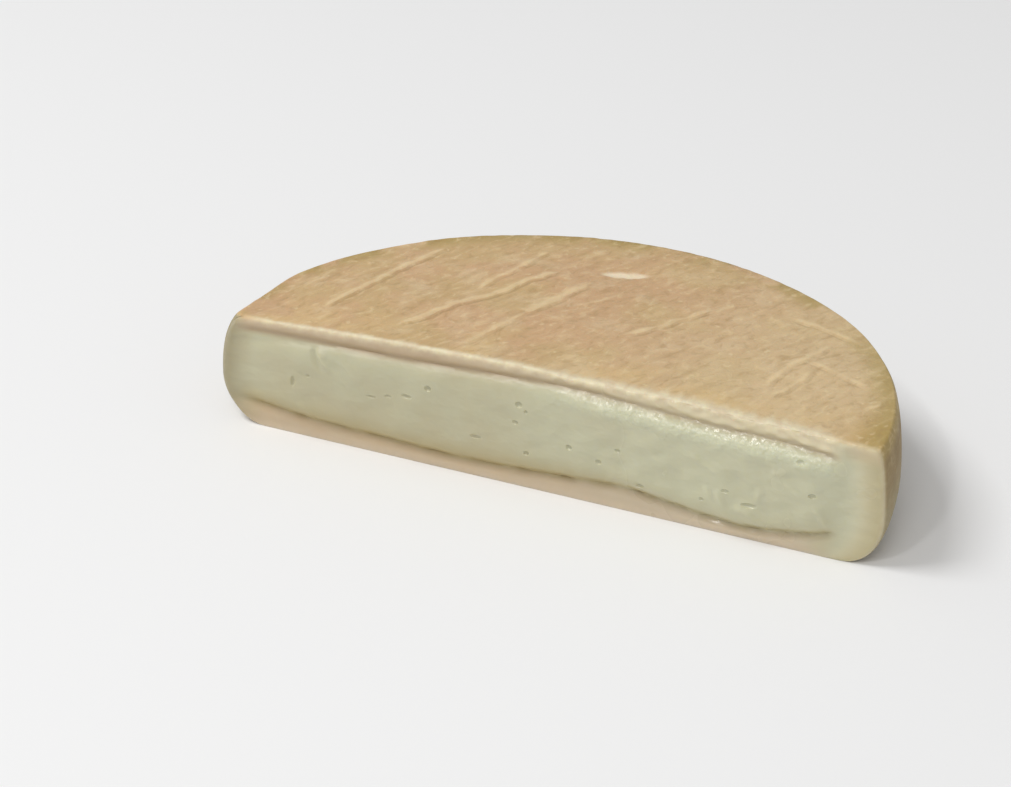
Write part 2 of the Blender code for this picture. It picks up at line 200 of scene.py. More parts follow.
# Lines along the cut, with painted shade at the groove and the crease, a painted highlight on the shoulder,
# and ripe colour with painted shade above the crease: (height above the groove or the crease, half width),
# in millimetres
COLOURED_LINES = {"groove": (0.2, 1.1), "shoulder": (-3, 2.2), "crease": (0.3, 1.3), "ripe": (0, 4.5)}
# The crease line is painted shade, darker and browner, in the crease between the paste and the bottom rind
CREASE_SHADE_SHARES = (0.8, 0.4)  # the crease line's mean strength, and its unevenness
CREASE_SHADE_SIZE = 8 * MM
# The ripe band is the paste's own yellower, browner colour with painted shade on the band's lower part
RIPE_RIGHT = 0.3  # how ripe the right part's paste is beside the left part's

# The pale edge where the knife cut the rind, along the top and down the right end
EDGE_WIDTH = 1.0 * MM
EDGE_WIDENING = 1.8 * MM  # in its right part
EDGE_WAVES = ((0.3, 10 * MM, 11), (0.25, 3.5 * MM, 12))  # (share of the width, size, layer)
EDGE_OFFSET = 0.4 * MM  # behind the cut
EDGE_DROP = 1.6 * MM  # down the cut
EDGE_FADED = 0.45  # its strength near the right end
END_EDGE_WIDTH = 1.0 * MM
END_EDGE_SHARE = 0.6

# More of the same, by the height as a share of the thickness and by the radius as a share of the
# shoulder's
TOP_LEVELS = (0.9, 0.99)
WALL_LEVELS = (0.97, 0.86)
LOW_WALL_LEVELS = (0.75, 0.35)
OUTER_RADII = (0.9, 1.0)
PALE_SLANT = 0.3  # how far the border of the top's pale part leans to the right, per length to the back

# Shades of the rind and the paste, as seen, from 0 to 255
SHADES = {
    "pinkish rind": (203, 167, 127), "tan rind": (200, 170, 124), "pale rind": (212, 188, 146),
    "golden rind": (214, 184, 132), "worn rind": (220, 196, 158), "corner rind": (194, 160, 100),
    # dark wall and light wall: the rind's browner colour with painted shade, as the wall turns from the
    # light
    "olive rim": (166, 144, 80), "dark wall": (134, 110, 66), "light wall": (172, 148, 100),
    "low wall": (172, 162, 128), "crest": (230, 206, 162), "valley": (166, 136, 92),
    # fold: painted highlight on the folds' crests; furrow: painted shade in the furrows beside them
    "fold": (232, 208, 164), "furrow": (156, 128, 86), "speck": (232, 212, 168), "scar": (240, 222, 190),
    "dull edge": (217, 201, 171), "bright edge": (232, 222, 189),
    "yellow paste": (191, 183, 151), "green paste": (194, 190, 160), "right paste": (205, 204, 175),
    # ripe paste: ripened colour with painted shade low on the band; left end: the rind's olive with painted
    # shade where the end rounds off
    "ripe and shaded paste": (178, 159, 108), "left end": (154, 142, 108), "right end": (224, 215, 184),
    "right rim": (190, 178, 138), "pink cut rind": (194, 168, 138), "tan cut rind": (198, 178, 144),
    # shoulder: painted highlight, a paler, greener band where the paste's shoulder faces up to the light
    "right cut rind": (226, 214, 180), "rind end": (204, 184, 148), "shoulder": (216, 217, 188),
    # groove: the cut rind's own pinkish brown darkened by painted shade in the groove; crease: painted
    # shade, darker and browner, in the crease
    "groove": (172, 150, 118), "crease": (162, 142, 92), "brown strip": (200, 174, 140),
    "grey strip": (200, 184, 156), "right strip": (203, 190, 166), "foot": (222, 204, 178),
}
# How much of a shade covers what lies under it, where its place is full. The others cover it all
COVERS = {
    "pale rind": 0.8, "golden rind": 0.7, "worn rind": 0.4, "olive rim": 0.7, "low wall": 0.7,
    "furrow": 0.4, "speck": 0.4, "right paste": 0.7, "ripe and shaded paste": 0.75, "left end": 0.85,
    "rind end": 0.6, "shoulder": 0.6, "groove": 0.55, "right strip": 0.7, "foot": 0.55, "crease": 0.55,
}
EDGE_COVER = 0.95
RIGHT_END_COVER = 0.9
RIGHT_END_BORDER = (0, 0.8)  # from where to where on the way to the rim the right end's shades grow
CORNER_LEAST = 0.5  # of the corner's shade, where its noise is lowest
WALL_SHARE = 0.3  # how strongly crests and specks show on the wall beside the top

# Soft patches: (size, detail, from which to which noise value they grow)
PATCHES = {
    "tan": (26 * MM, 4, 0.4, 0.6), "golden": (16 * MM, 4, 0.4, 0.62), "worn": (11 * MM, 5, 0.5, 0.7),
    "olive": (14 * MM, 4, 0.42, 0.56), "speck": (2.6 * MM, 3, 0.62, 0.76),
    "green": (20 * MM, 4, 0.35, 0.65), "edge": (2.5 * MM, 4, 0.3, 0.7),
}
# Noise that varies the looks of a feature: (size, detail)
MOTTLES = {
    "wall": (6 * MM, 5), "corner": (7 * MM, 3), "fold": (5 * MM, 4), "cut rind": (9 * MM, 4),
    "strip": (7 * MM, 4), "rind gloss": (4 * MM, 4), "rind grain": (0.9 * MM, 3), "dry": (12 * MM, 1),
    "wet": (10 * MM, 1), "drag": (5 * MM, 2), "lumps": (2.2 * MM, 3), "paste grain": (1.0 * MM, 2),
}

# The rind's streaks and wrinkles: (size, stretch along the cloth, distortion)
CLOTH_HEADING = math.radians(68)  # of most folds too
STREAKS = (3.2 * MM, 4.5, 0.4)
WRINKLES = (2.4 * MM, 1.6, 0.5)
RELIEF_DETAIL = 5
STREAK_COVERS = (0.22, 0.22)  # of the valleys' and the crests' shades
WRINKLE_COVERS = (0.36, 0.4)
VALLEYS = (0.48, 0.28)  # from which to which height they grow
CRESTS = (0.52, 0.72)
# Heights over which the painted highlight on the folds' crests and the painted shade in their furrows grow
RAISED_FOLDS = (0.15, 0.8)  # the same for the folds
SUNK_FOLDS = (-0.08, -0.6)
FOLD_COVERS = (0.2, 0.9)  # of the folds' shade, where their noise is lowest and highest

# Finish
RIND_ROUGHNESS = (0.5, 0.72)
STREAK_HEIGHT = 0.32 * MM
WRINKLE_HEIGHT = 0.35 * MM
RIND_GRAIN_HEIGHT = 0.08 * MM
DRY_ROUGHNESS = (0.38, 0.5)
WETNESS = (0.1, 0.32)  # taken off the paste's roughness towards the right
DRAG_HEIGHT = 0.7 * MM
DRAG_STRETCH = (1.5, 1, 1)
LUMP_HEIGHT = 0.9 * MM
PASTE_GRAIN_HEIGHT = 0.04 * MM
EDGE_RAGGEDNESS = 0.6  # how lumpy the pale edge is beside the paste's shoulder
RIND_SCATTER = {
    "Subsurface Weight": 0.15, "Subsurface Radius": (1.0, 0.6, 0.3), "Subsurface Scale": 1.5 * MM,
    "Specular IOR Level": 0.35,
}
PASTE_SCATTER = {
    "Subsurface Weight": 0.5, "Subsurface Radius": (1.0, 0.85, 0.55), "Subsurface Scale": 2.0 * MM,
    "Specular IOR Level": 0.6,
}

# The studio. The lights face the origin: (name, place, size, power), in metres and watts
LIGHTS = (
    ("key", (-1.1, -0.5, 1.9), 0.8, 22),
    ("front", (0.3, -1.6, 2.0), 1.0, 10),
    ("glint", (-0.27, -1.17, 1.3), 0.12, 3),
)
SKY_STRENGTH = 0.4
FLOOR_SIZE = 6
FLOOR_GREY = 0.9
FLOOR_ROUGHNESS = 0.9

# The camera, from the middle of the cut, and its view
CAMERA_PLACE = (237.5 * MM, -544.8 * MM, 353.5 * MM)
CAMERA_AZIMUTH = math.radians(24.3)
CAMERA_ELEVATION = math.radians(28.64)
CAMERA_ROLL = math.radians(0.26)
CAMERA_LENS = 92.3  # mm
CAMERA_SENSOR = 36  # mm


def smooth_step(low, high, value):
    share = np.clip((value - low) / (high - low), 0, 1)
    return share * share * (3 - 2 * share)


def grown(feature, distance):
    """From 0 to 1 across the feature's span."""
    low, high = SPANS[feature]
    return smooth_step(low * MM, high * MM, distance)


def ridge(distance, half_width):
    """A rounded ridge of height 1 on its line."""
    return np.exp(-((distance / half_width) ** 2))


def wave(x, y, size, layer):
    """Smooth unevenness, mostly between -1 and 1. Each layer has its own pattern."""
    draw = random.Random(layer)
    total = 0
    for _ in range(WAVE_COUNT):
        heading = draw.uniform(0, 2 * math.pi)
        length = size * draw.uniform(0.7, 1.4)
        phase = draw.uniform(0, 2 * math.pi)
        along = x * math.cos(heading) + y * math.sin(heading)
        total = total + np.sin(2 * math.pi * along / length + phase)
    return total / math.sqrt(2 * WAVE_COUNT)


def in_line(x, y, start_x, start_y, heading):
    """The place (x, y) as its distance along and to the left of a line."""
    along = (x - start_x) * math.cos(heading) + (y - start_y) * math.sin(heading)
    across = (y - start_y) * math.cos(heading) - (x - start_x) * math.sin(heading)
    return along, across


def rim_radius(level, side):
    """The wheel's radius as a share of the widest, at a level from 0, the underside, to 1, the top.

    Side runs from -1, the left end of the cut, to 1, the right end.
    """
    left = smooth_step(LEFT_START, -1, side)
    top = SHOULDER_RADIUS + (LEFT_SHOULDER_RADIUS - SHOULDER_RADIUS) * left
    bottom = FOOT_RADIUS + (LEFT_FOOT_RADIUS - FOOT_RADIUS) * left
    above = np.clip((level - WIDEST_LEVEL) / (1 - WIDEST_LEVEL), 0, 1)
    below = np.clip((WIDEST_LEVEL - level) / WIDEST_LEVEL, 0, 1)
    shoulder = top + (1 - top) * (1 - above**SHOULDER_POWER) ** (1 / SHOULDER_POWER)
    foot = bottom + (1 - bottom) * (1 - below**FOOT_POWER) ** (1 / FOOT_POWER)
    return np.where(level > WIDEST_LEVEL, shoulder, foot)


def thickness_at(x, y):
    """The wheel's thickness without the folds."""
    from_middle = np.clip((x / (CHORD / 2)) ** 2 + (y / DEPTH) ** 2, 0, 1)
    return THICKNESS * (1 + LEAN * x / (CHORD / 2)) + CROWN * (1 - from_middle) ** CROWN_POWER


def fold_profile(across):
    """A fold seen from its end: a crest, a gentle side on the left and a furrow on the right."""
    gentle = np.where(across > 0, ridge(across, FOLD_SLOPE), ridge(across, FOLD_CREST))
    crest = (gentle + ridge(across, FOLD_CREST)) / 2
    return crest - FURROW_SHARE * ridge(across + FURROW_OFFSET, FURROW_HALF_WIDTH)


def folds_at(x, y):
    """How high the cloth's folds stand, from 1 on a fold to below 0 in its furrow."""
    total = 0 * x
    for number, (start_x, start_y, end_x, end_y, share) in enumerate(FOLDS):
        heading = math.atan2(end_y - start_y, end_x - start_x)
        length = math.hypot(end_x - start_x, end_y - start_y) * MM
        along, across = in_line(x, y, start_x * MM, start_y * MM, heading)
        across = across + FOLD_BEND * wave(along, 0, FOLD_BEND_SIZE, 20 + number)
        across = across + FOLD_KINK * wave(along, 0, FOLD_KINK_SIZE, 80 + number)
        ends = smooth_step(0, FOLD_FADE, along) * smooth_step(length, length - FOLD_FADE, along)
        height = share * (1 + FOLD_UNEVENNESS * wave(along, 0, FOLD_UNEVENNESS_SIZE, 50 + number))
        total = total + height * ends * fold_profile(across)
    return total


def scar_at(x, y):
    """1 inside the scar and 0 outside it."""
    along, across = in_line(x, y, *SCAR_PLACE, SCAR_HEADING)
    return smooth_step(*SCAR_BORDER, np.hypot(along / SCAR_SIZE[0], across / SCAR_SIZE[1]))


def top_relief(x, y):
    """How far the folds, the scar, a slow unevenness and fine puckers raise the top."""
    slow = TOP_WAVE * wave(x, y, TOP_WAVE_SIZE, 1)
    pucker = RIND_PUCKER * wave(x, y, RIND_PUCKER_SIZE, 7) * (1 + wave(x, y, 4 * RIND_PUCKER_SIZE, 8))
    return slow + pucker + FOLD_RISE * folds_at(x, y) - SCAR_DEPTH * scar_at(x, y)


def knots_at(x, knots):
    """The value at x on straight lines through knots given in millimetres, with the bends rounded."""
    places, values = zip(*knots)
    return MM * sum(np.interp(x / MM + nudge, places, values) for nudge in KNOT_NUDGES) / len(KNOT_NUDGES)


def groove_at(x):
    """How high the groove lies."""
    return thickness_at(x, 0) - knots_at(x, GROOVE)


def inside_ends(x, ends, fades):
    """1 between two ends of the cut, dying out towards both."""
    return smooth_step(ends[0], ends[0] + fades[0], x) * smooth_step(ends[1], ends[1] - fades[1], x)


def drag_marks_at(x, z):
    """How far the knife's marks stand out."""
    total = 0
    for start_x, start_z, heading, length, rise in DRAG_MARKS:
        along, aside = in_line(x, z, start_x * MM, start_z * MM, math.radians(heading))
        ends = smooth_step(-MM, MM, along) * smooth_step(length * MM, length * MM / 3, along)
        total = total + rise * MM * ends * ridge(aside, DRAG_HALF_WIDTH)
    return total


def cut_relief(x, z):
    """How far the cut face stands out of its plane."""
    left = BULGE_ENDS[0]
    groove = groove_at(x)
    crease = knots_at(x, CREASE)
    shoulder = groove - SHOULDER_BELOW_GROOVE
    shoulder = shoulder - SHOULDER_END_DROP * smooth_step(left + 2 * BULGE_FADES[0], left, x)
    across = np.clip((z - crease) / (shoulder - crease), 0, 1)
    smears = SMEARS * grown("smears", x) * wave(x, z, SMEAR_SIZE, 3)
    bulge = PASTE_BULGE + PASTE_LUMPS * wave(x, z, PASTE_LUMP_SIZE, 2) + smears
    bulge = bulge * (1 - abs(2 * across - 1) ** BULGE_POWER)
    edge_lumps = EDGE_LUMPS * grown("edge lumps", x) * wave(x, 2 * z, EDGE_LUMP_SIZE, 9)
    crease_depth = CREASE_DEPTH * (1 + CREASE_UNEVENNESS * wave(x, z, CREASE_UNEVENNESS_SIZE, 10))
    lines = BOTTOM_LIP * ridge(z - crease / 2, crease / 3)
    lines = lines + edge_lumps * grown("rolled edge", z - groove)
    lines = lines - GROOVE_DEPTH * ridge(z - groove, GROOVE_HALF_WIDTH)
    lines = lines - crease_depth * ridge(z - crease, CREASE_HALF_WIDTH) + drag_marks_at(x, z)
    bulge = bulge * inside_ends(x, BULGE_ENDS, BULGE_FADES)
    return bulge + lines * inside_ends(x, GROOVE_ENDS, GROOVE_FADES)


def rounded(first, second, radius):
    """Distances from two faces that meet square, moved so that the edge between them is round."""
    first_left, second_left = radius - first, radius - second
    near = (first_left > 0) & (second_left > 0)
    longest = np.where(near, np.maximum(first_left, second_left), 1)
    reach = np.where(near, np.hypot(first_left, second_left) / longest, 1)
    first_moved = np.where(near, radius - first_left / reach, first)
    second_moved = np.where(near, radius - second_left / reach, second)
    return first_moved, second_moved


def divided_box(cells):
    """A box primitive, x -1 to 1 and y and z 0 to 1, open below, with its sides divided into cells."""
    bm = bmesh.new()
    placed = Matrix.Diagonal((2, 1, 1, 1)) @ Matrix.Translation((0, 0.5, 0.5))
    bmesh.ops.create_cube(bm, size=1, matrix=placed)
    bm.normal_update()
    below = [face for face in bm.faces if face.normal.z < -0.5]
    bmesh.ops.delete(bm, geom=below, context="FACES_ONLY")
    for axis, count in enumerate(cells):
        along = [edge for edge in bm.edges if abs(edge.verts[1].co[axis] - edge.verts[0].co[axis]) > 0.5]
        bmesh.ops.subdivide_edges(bm, edges=along, cuts=count - 1, use_grid_fill=True)
    for face in bm.faces:
        face.smooth = True
        face.material_index = int(max(vert.co.y for vert in face.verts) < 1e-6)
    mesh = bpy.data.meshes.new("cheese")
    bm.to_mesh(mesh)
    bm.free()
    return mesh


def half_wheel_points(box_points):
    """Where the divided box's points go on the half wheel, with the cut in the plane y = 0."""
    u = np.sin(EDGE_CROWDING * box_points[:, 0]) / math.sin(EDGE_CROWDING)
    v = np.clip(box_points[:, 1], 0, 1) ** CUT_CROWDING
    w = np.clip(box_points[:, 2], 0, 1)
    level = w / 2 + (1 - np.cos(math.pi * w)) / 4
    side, back = u * np.sqrt(1 - v * v / 2), v * np.sqrt(1 - u * u / 2)
    rim = rim_radius(level, side) * (1 + np.where(side < 0, *RIM_SWELLS) * (2 * side * back) ** 2)
    across, depth = side * CHORD / 2, back * DEPTH
    on_side = 1 - smooth_step(*RIM_WAVE_FADE, abs(2 * level - 1))
    rim = rim + on_side * RIM_WAVE / DEPTH * wave(across, depth + level * THICKNESS, RIM_WAVE_SIZE, 4)
    x, y = across * rim, depth * rim
    thickness = thickness_at(x, y)
    at_left = smooth_step(LEFT_EDGE_REACH - CHORD / 2, -CHORD / 2, x)
    edge_radius = CUT_EDGE_RADIUS + (LEFT_EDGE_RADIUS - CUT_EDGE_RADIUS) * at_left
    y, below_top = rounded(y, thickness * (1 - level), edge_radius)
    y, inside_rim = rounded(y, rim * CHORD / 2 - abs(x), np.where(x < 0, *CUT_END_RADII))
    x = np.sign(x) * (rim * CHORD / 2 - inside_rim)
    z = thickness - below_top + top_relief(x, y) * level**TOP_RELIEF_POWER
    on_cut = v < 1e-6
    return np.stack((x, np.where(on_cut, y - cut_relief(x, z), y), z), axis=1)


def close_underside(mesh):
    bm = bmesh.new()
    bm.from_mesh(mesh)
    border = [edge for edge in bm.edges if edge.is_boundary]
    for vert in {vert for edge in border for vert in edge.verts}:
        vert.co.z = 0
    bmesh.ops.edgeloop_fill(bm, edges=border)
    bmesh.ops.recalc_face_normals(bm, faces=bm.faces)
    bm.to_mesh(mesh)
    bm.free()


def get_points(mesh):
    flat = np.empty(len(mesh.vertices) * 3)
    mesh.vertices.foreach_get("co", flat)
    return flat.reshape(-1, 3)


def set_points(mesh, points):
    mesh.vertices.foreach_set("co", points.ravel())
    mesh.update()


def make_eye_cutters(shift, material):
    """Flattened balls that cut the eyes out of the paste, joined in one object."""
    bm = bmesh.new()
    for x, z, width, height in EYES:
        x, z = x * MM, z * MM
        radius = EYE_DEPTH_SHARE * min(width, height) * MM / (1 - EYE_LIFT)
        place = Vector((x, -float(cut_relief(x, z)) - EYE_LIFT * radius, z)) + shift
        widening = MM / 2 / math.sqrt(1 - EYE_LIFT**2)
        size = Matrix.Diagonal((width * widening, radius, height * widening, 1))
        bmesh.ops.create_icosphere(bm, subdivisions=3, radius=1, matrix=Matrix.Translation(place) @ size)
    for face in bm.faces:
        face.smooth = True
    mesh = bpy.data.meshes.new("eye_cutters")
    bm.to_mesh(mesh)
    bm.free()
    mesh.materials.append(material)
    cutters = bpy.data.objects.new("eye_cutters", mesh)
    bpy.context.scene.collection.objects.link(cutters)
    return cutters


def cut_eyes(obj, shift, material):
    cutters = make_eye_cutters(shift, material)
    modifier = obj.modifiers.new("eyes", "BOOLEAN")
    modifier.operation = "DIFFERENCE"
    modifier.object = cutters
    modifier.material_mode = "TRANSFER"
    evaluated = obj.evaluated_get(bpy.context.evaluated_depsgraph_get())
    mesh = bpy.data.meshes.new_from_object(evaluated)
    obj.modifiers.remove(modifier)
    obj.data = mesh
    bpy.data.objects.remove(cutters)


def coloured_line(name, height):
    """How strongly a line along the cut shows, at a height above the groove or the crease."""
    middle, half_width = COLOURED_LINES[name]
    return ridge(height - middle * MM, half_width * MM)


def edge_strength(x, behind_cut, below_top, inside_rim):
    """How strongly the pale edge of the cut rind shows."""
    width = EDGE_WIDTH + EDGE_WIDENING * grown("edge widens", x) * grown("edge narrows", x)
    width = width * (1 + sum(share * wave(x, 0 * x, size, layer) for share, size, layer in EDGE_WAVES))
    along_top = ridge(behind_cut - EDGE_OFFSET, width) * ridge(below_top, EDGE_DROP)
    along_top = along_top * (EDGE_FADED + (1 - EDGE_FADED) * grown("edge fades", x))
    along_top = along_top * grown("edge starts", x)
    down_end = ridge(behind_cut, END_EDGE_WIDTH) * ridge(inside_rim, END_EDGE_WIDTH) * grown("end edge", x)
    return np.maximum(along_top, END_EDGE_SHARE * down_end)


def cut_places(x, z, below_top, inside_rim, near_cut):
    """How strongly each feature of the cut face shows."""
    on_cut = near_cut * grown("paste", np.minimum(below_top, inside_rim))
    on_lines = near_cut * inside_ends(x, GROOVE_ENDS, GROOVE_FADES)
    on_strip = on_cut * inside_ends(x, STRIP_ENDS, STRIP_FADES)
    above_groove = z - groove_at(x)
    above_crease = z - knots_at(x, CREASE)
    ripeness_and_shade = RIPE_RIGHT + (1 - RIPE_RIGHT) * grown("ripe left", x)
    mean, unevenness = CREASE_SHADE_SHARES
    crease_shade_strength = mean + unevenness * wave(x, z, CREASE_SHADE_SIZE, 13)
    return {
        "on_cut": on_cut,
        "cut_rind": on_lines * grown("cut rind", above_groove),
        # painted shade in the groove, over the cut rind's own colour
        "groove": on_lines * coloured_line("groove", above_groove),
        # painted highlight on the shoulder under the groove
        "shoulder": on_lines * coloured_line("shoulder", above_groove) * grown("shoulder", x),
        # painted shade in the crease
        "crease": on_lines * coloured_line("crease", above_crease) * crease_shade_strength,
        # ripened colour with painted shade on the band's lower part
        "ripe": on_lines * coloured_line("ripe", np.clip(above_crease, 0, None)) * ripeness_and_shade,
        "strip": on_strip * grown("strip", above_crease),
        "foot": on_strip * grown("foot", z),
        # the rind's olive with painted shade, where the cut's left end rounds off and turns from the light
        "left_end_olive_and_shade": on_cut * grown("left rim", inside_rim) * grown("left end", x),
        "right_end": on_cut * grown("right rim", inside_rim) * grown("right end", x),
        "rind_end": on_cut * grown("rind end depth", below_top) * grown("rind end", x),
        "paste_right": grown("paste right", x),
    }


def rind_places(x, y, level, radius):
    """How strongly each feature of the rind shows, at a share of the thickness and of the shoulder."""
    on_top = smooth_step(*TOP_LEVELS, level)
    return {
        "fold": folds_at(x, y) * on_top,
        "scar": scar_at(x, y) * on_top,
        "golden": grown("golden", y),
        "pale": grown("pale", x - PALE_SLANT * y),
        "outer": smooth_step(*OUTER_RADII, radius),
        "right": grown("right", x),
        "corner": grown("corner", x) * grown("corner depth", y),
        "wall": smooth_step(*WALL_LEVELS, level),
        "wall_low": smooth_step(*LOW_WALL_LEVELS, level),
    }


def paint_places(mesh, shift):
    """Stores on each vertex how strongly each feature of the surface shows there, for the materials."""
    x, y, z = (get_points(mesh) - np.array(shift)).T
    behind_cut = np.clip(y, 0, None)
    thickness = thickness_at(x, behind_cut)
    below_top = np.clip(thickness - z, 0, None)
    from_axis = np.hypot(x / (CHORD / 2), behind_cut / DEPTH)
    rim = rim_radius(np.clip(z / thickness, 0, 1), x / (CHORD / 2))
    inside_rim = np.clip(rim - from_axis, 0, None) * CHORD / 2
    places = {
        "edge": edge_strength(x, behind_cut, below_top, inside_rim),
        **cut_places(x, z, below_top, inside_rim, grown("cut", y)),
        **rind_places(x, y, z / thickness, from_axis / SHOULDER_RADIUS),
    }
    for name, values in places.items():
        attribute = mesh.attributes.new(name, "FLOAT", "POINT")
        attribute.data.foreach_set("value", np.ascontiguousarray(values, dtype=np.float32))


class Nodes:
    """Short calls that add nodes to a material."""

    def __init__(self, name):
        self.material = bpy.data.materials.new(name)
        self.material.use_nodes = True
        self.tree = self.material.node_tree
        self.shader = self.tree.nodes["Principled BSDF"]
        self.place = self.tree.nodes.new("ShaderNodeTexCoord").outputs["Object"]

    def put(self, value, socket):
        if isinstance(value, bpy.types.NodeSocket):
            self.tree.links.new(value, socket)
        else:
            socket.default_value = value

    def stored(self, name):
        """The value that paint_places left under this name."""
        node = self.tree.nodes.new("ShaderNodeAttribute")
        node.attribute_name = name
        return node.outputs["Fac"]

    def noise(self, size, detail, stretch=(1, 1, 1), turn=0, distortion=0):
        """Noise between 0 and 1 with features of about this size, stretched along the turned axes."""
        mapping = self.tree.nodes.new("ShaderNodeMapping")
        mapping.vector_type = "TEXTURE"
        self.put(self.place, mapping.inputs["Vector"])
        mapping.inputs["Rotation"].default_value = (0, 0, turn)
        mapping.inputs["Scale"].default_value = stretch
        node = self.tree.nodes.new("ShaderNodeTexNoise")
        self.put(mapping.outputs["Vector"], node.inputs["Vector"])
        node.inputs["Scale"].default_value = 1 / size
        node.inputs["Detail"].default_value = detail
        node.inputs["Distortion"].default_value = distortion
        return node.outputs["Fac"]

    def between(self, value, low, high):
        """0 below low, 1 above high, and smooth between. Low may be the larger."""
        node = self.tree.nodes.new("ShaderNodeMapRange")
        node.interpolation_type = "SMOOTHSTEP"
        self.put(value, node.inputs["Value"])
        node.inputs["From Min"].default_value = min(low, high)
        node.inputs["From Max"].default_value = max(low, high)
        node.inputs["To Min"].default_value = float(low > high)
        node.inputs["To Max"].default_value = float(low < high)
        return node.outputs["Result"]

    def scaled(self, value, low, high):
        """A value from 0 to 1, as one from low to high."""
        node = self.tree.nodes.new("ShaderNodeMapRange")
        self.put(value, node.inputs["Value"])
        node.inputs["To Min"].default_value = low
        node.inputs["To Max"].default_value = high
        return node.outputs["Result"]

    def math(self, operation, first, second):
        node = self.tree.nodes.new("ShaderNodeMath")
        node.operation = operation
        self.put(first, node.inputs[0])
        self.put(second, node.inputs[1])
        return node.outputs["Value"]

    def times(self, first, second):
        return self.math("MULTIPLY", first, second)

    def patches(self, name):
        """1 inside the named patches and 0 outside, with soft borders."""
        size, detail, low, high = PATCHES[name]
        return self.between(self.noise(size, detail), low, high)

    def mixed(self, share, first, second):
        node = self.tree.nodes.new("ShaderNodeMix")
        node.data_type = "RGBA"
        self.put(share, node.inputs["Factor"])
        self.put(first, node.inputs["A"])
        self.put(second, node.inputs["B"])
        return node.outputs["Result"]

    def tinted(self, tint, name, place):
        """The tint, covered with a named shade as strongly as the place says."""
        return self.mixed(self.times(place, COVERS.get(name, 1)), tint, shade(name))

    def bumped(self, height, distance, below=None):
        node = self.tree.nodes.new("ShaderNodeBump")
        self.put(height, node.inputs["Height"])
        node.inputs["Distance"].default_value = distance
        if below is not None:
            self.put(below, node.inputs["Normal"])
        return node.outputs["Normal"]


def shade(name):
    """A shade of the cheese, in the linear values that shaders use."""
    seen = [value / 255 for value in SHADES[name]]
    return [share / 12.92 if share < 0.04045 else ((share + 0.055) / 1.055) ** 2.4 for share in seen] + [1]


def cloth_relief(nodes, size, stretch, distortion):
    """Relief along the cloth, as heights between 0 and 1."""
    return nodes.noise(size, RELIEF_DETAIL, (stretch, 1, 1), CLOTH_HEADING, distortion)


def top_colour(nodes):
    """Pinkish tan in soft patches, paler to the right, golden near the cut and olive at the rim."""
    tint = nodes.mixed(nodes.patches("tan"), shade("pinkish rind"), shade("tan rind"))
    tint = nodes.tinted(tint, "pale rind", nodes.stored("pale"))
    golden = nodes.times(nodes.stored("golden"), nodes.patches("golden"))
    tint = nodes.tinted(tint, "golden rind", golden)
    tint = nodes.tinted(tint, "worn rind", nodes.patches("worn"))
    corner = nodes.scaled(nodes.noise(*MOTTLES["corner"]), CORNER_LEAST, 1)
    tint = nodes.tinted(tint, "corner rind", nodes.times(nodes.stored("corner"), corner))
    olive = nodes.math("MAXIMUM", nodes.stored("right"), nodes.patches("olive"))
    return nodes.tinted(tint, "olive rim", nodes.times(nodes.stored("outer"), olive))


def wall_colour_and_shade(nodes):
    """Brown and darker than the top, partly the rind's own colour and partly painted shade on the wall that
    turns from the light, and paler and greyer low down.
    """
    wall = nodes.mixed(nodes.noise(*MOTTLES["wall"]), shade("dark wall"), shade("light wall"))
    return nodes.tinted(wall, "low wall", nodes.stored("wall_low"))


def rind_colour(nodes, streaks, wrinkles):
    """The top's and the wall's colours, with the streaks, wrinkles, folds, specks and scar over them; the
    folds get a painted highlight on their crests and painted shade in their furrows.
    """
    tint = nodes.mixed(nodes.stored("wall"), top_colour(nodes), wall_colour_and_shade(nodes))
    on_top = nodes.scaled(nodes.stored("wall"), 1, WALL_SHARE)
    for relief, (valley_cover, crest_cover) in ((streaks, STREAK_COVERS), (wrinkles, WRINKLE_COVERS)):
        crests = nodes.times(nodes.between(relief, *CRESTS), on_top)
        tint = nodes.tinted(tint, "crest", nodes.times(crests, crest_cover))
        valleys = nodes.between(relief, *VALLEYS)
        tint = nodes.tinted(tint, "valley", nodes.times(valleys, valley_cover))
    # Painted highlight on the folds' crests, then painted shade in their furrows
    raised = nodes.between(nodes.stored("fold"), *RAISED_FOLDS)
    raised = nodes.times(raised, nodes.scaled(nodes.noise(*MOTTLES["fold"]), *FOLD_COVERS))
    tint = nodes.tinted(tint, "fold", raised)
    tint = nodes.tinted(tint, "furrow", nodes.between(nodes.stored("fold"), *SUNK_FOLDS))
    tint = nodes.tinted(tint, "speck", nodes.times(nodes.patches("speck"), on_top))
    return nodes.tinted(tint, "scar", nodes.stored("scar"))


def right_end_colour(nodes, tint):
    """The tint, paler towards the right end of the cut and yellower at its rim."""
    near_rim = nodes.stored("right_end")
    end_tint = nodes.mixed(near_rim, shade("right end"), shade("right rim"))
    place = nodes.times(nodes.between(near_rim, *RIGHT_END_BORDER), RIGHT_END_COVER)
    return nodes.mixed(place, tint, end_tint)


